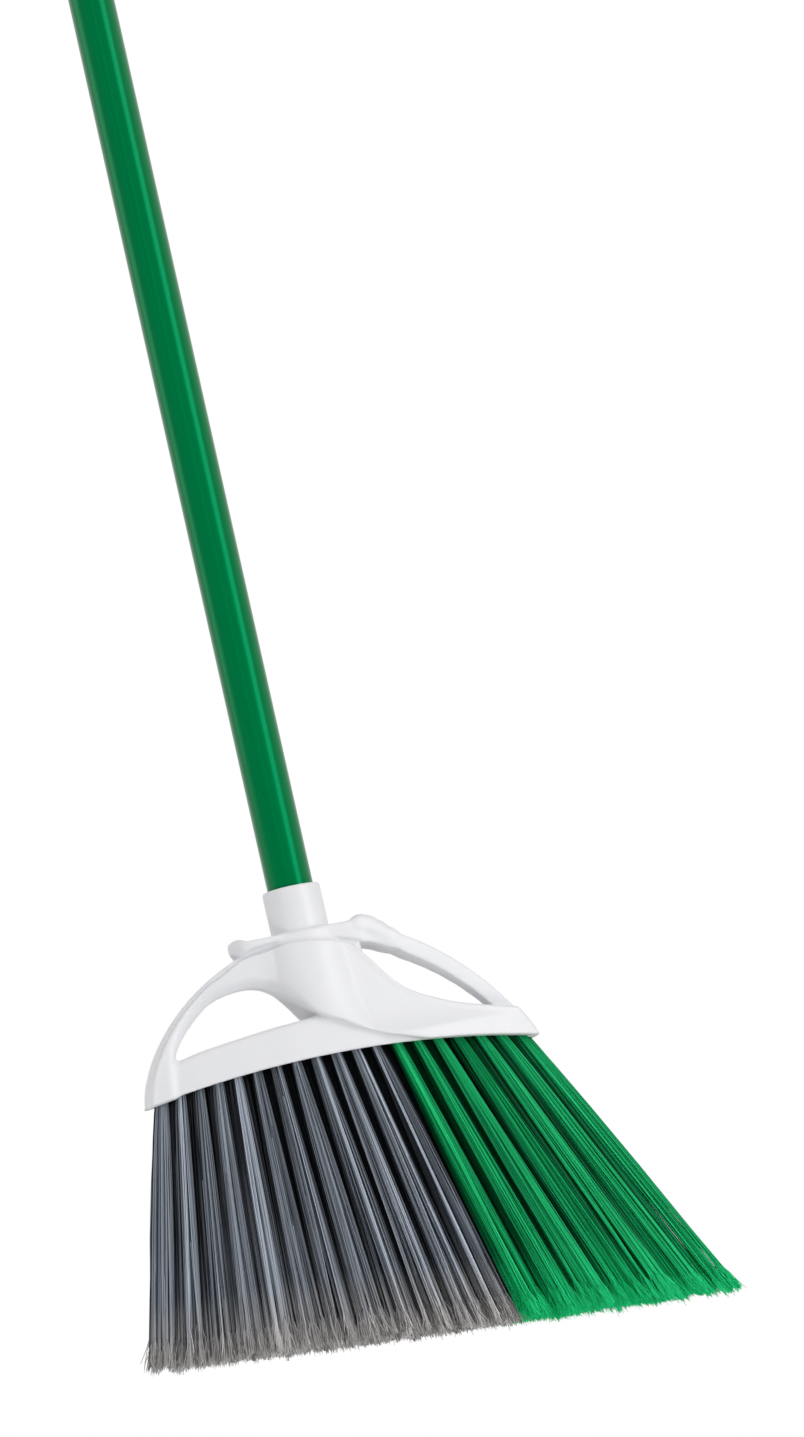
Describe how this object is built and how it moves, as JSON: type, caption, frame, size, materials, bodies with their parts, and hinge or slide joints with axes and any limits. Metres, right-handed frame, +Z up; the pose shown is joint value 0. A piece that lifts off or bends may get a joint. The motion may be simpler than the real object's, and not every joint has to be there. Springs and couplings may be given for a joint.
{
  "type": "angle broom",
  "caption": "Broom with a round screw-in handle, a moulded head with see-through windows, and an angled fan of synthetic bristles in grey and green.",
  "frame": {"origin": "centre of the hanging hole in the cap at the top of the handle", "axes": "+Z up along the handle, +X to the long side of the head, -Y to the front face of the head"},
  "size_m": [0.2876, 0.0586, 1.3672],
  "materials": {
    "green_coat": "glossy green plastic coat over a steel tube",
    "steel_tube": "bare rolled steel",
    "white_cap": "satin white polypropylene",
    "black_plastic": "satin black moulded plastic",
    "white_plastic": "satin white moulded polypropylene",
    "block_plastic": "matt black moulded polypropylene",
    "grey_fibre": "slate grey polyester fibre with flagged tips",
    "green_fibre": "vivid green polyester fibre with flagged tips",
    "anchor_wire": "brassed flat steel wire"
  },
  "bodies": {
    "handle": {"handle_sleeve": "green_coat", "threaded_tip": "black_plastic", "hanger_cap": "white_cap"},
    "core": {"handle_tube": "steel_tube"},
    "head": {"head_shell": "white_plastic", "bristle_block": "block_plastic", "grey_tufts_row_1": "grey_fibre", "grey_tufts_row_2": "grey_fibre", "grey_tufts_row_3": "grey_fibre", "grey_tufts_row_4": "grey_fibre", "grey_tufts_row_5": "grey_fibre", "green_tufts_row_1": "green_fibre", "green_tufts_row_2": "green_fibre", "green_tufts_row_3": "green_fibre", "green_tufts_row_4": "green_fibre", "green_tufts_row_5": "green_fibre", "tuft_anchors_row_1": "anchor_wire", "tuft_anchors_row_2": "anchor_wire", "tuft_anchors_row_3": "anchor_wire", "tuft_anchors_row_4": "anchor_wire", "tuft_anchors_row_5": "anchor_wire"}
  },
  "joints": [
    {"name": "head_turn", "type": "hinge", "parent": "handle", "child": "core", "pos_m": [0, 0, -1.1371], "axis": [0, 0, -1], "range_deg": [0, 1800]},
    {"name": "head_advance", "type": "slide", "parent": "core", "child": "head", "axis": [0, 0, -1], "range_m": [0, 0.0255]}
  ],
  "couplings": [
    {"joint": "head_advance", "follows": "head_turn", "m_per_rad": 0.00080851}
  ]
}
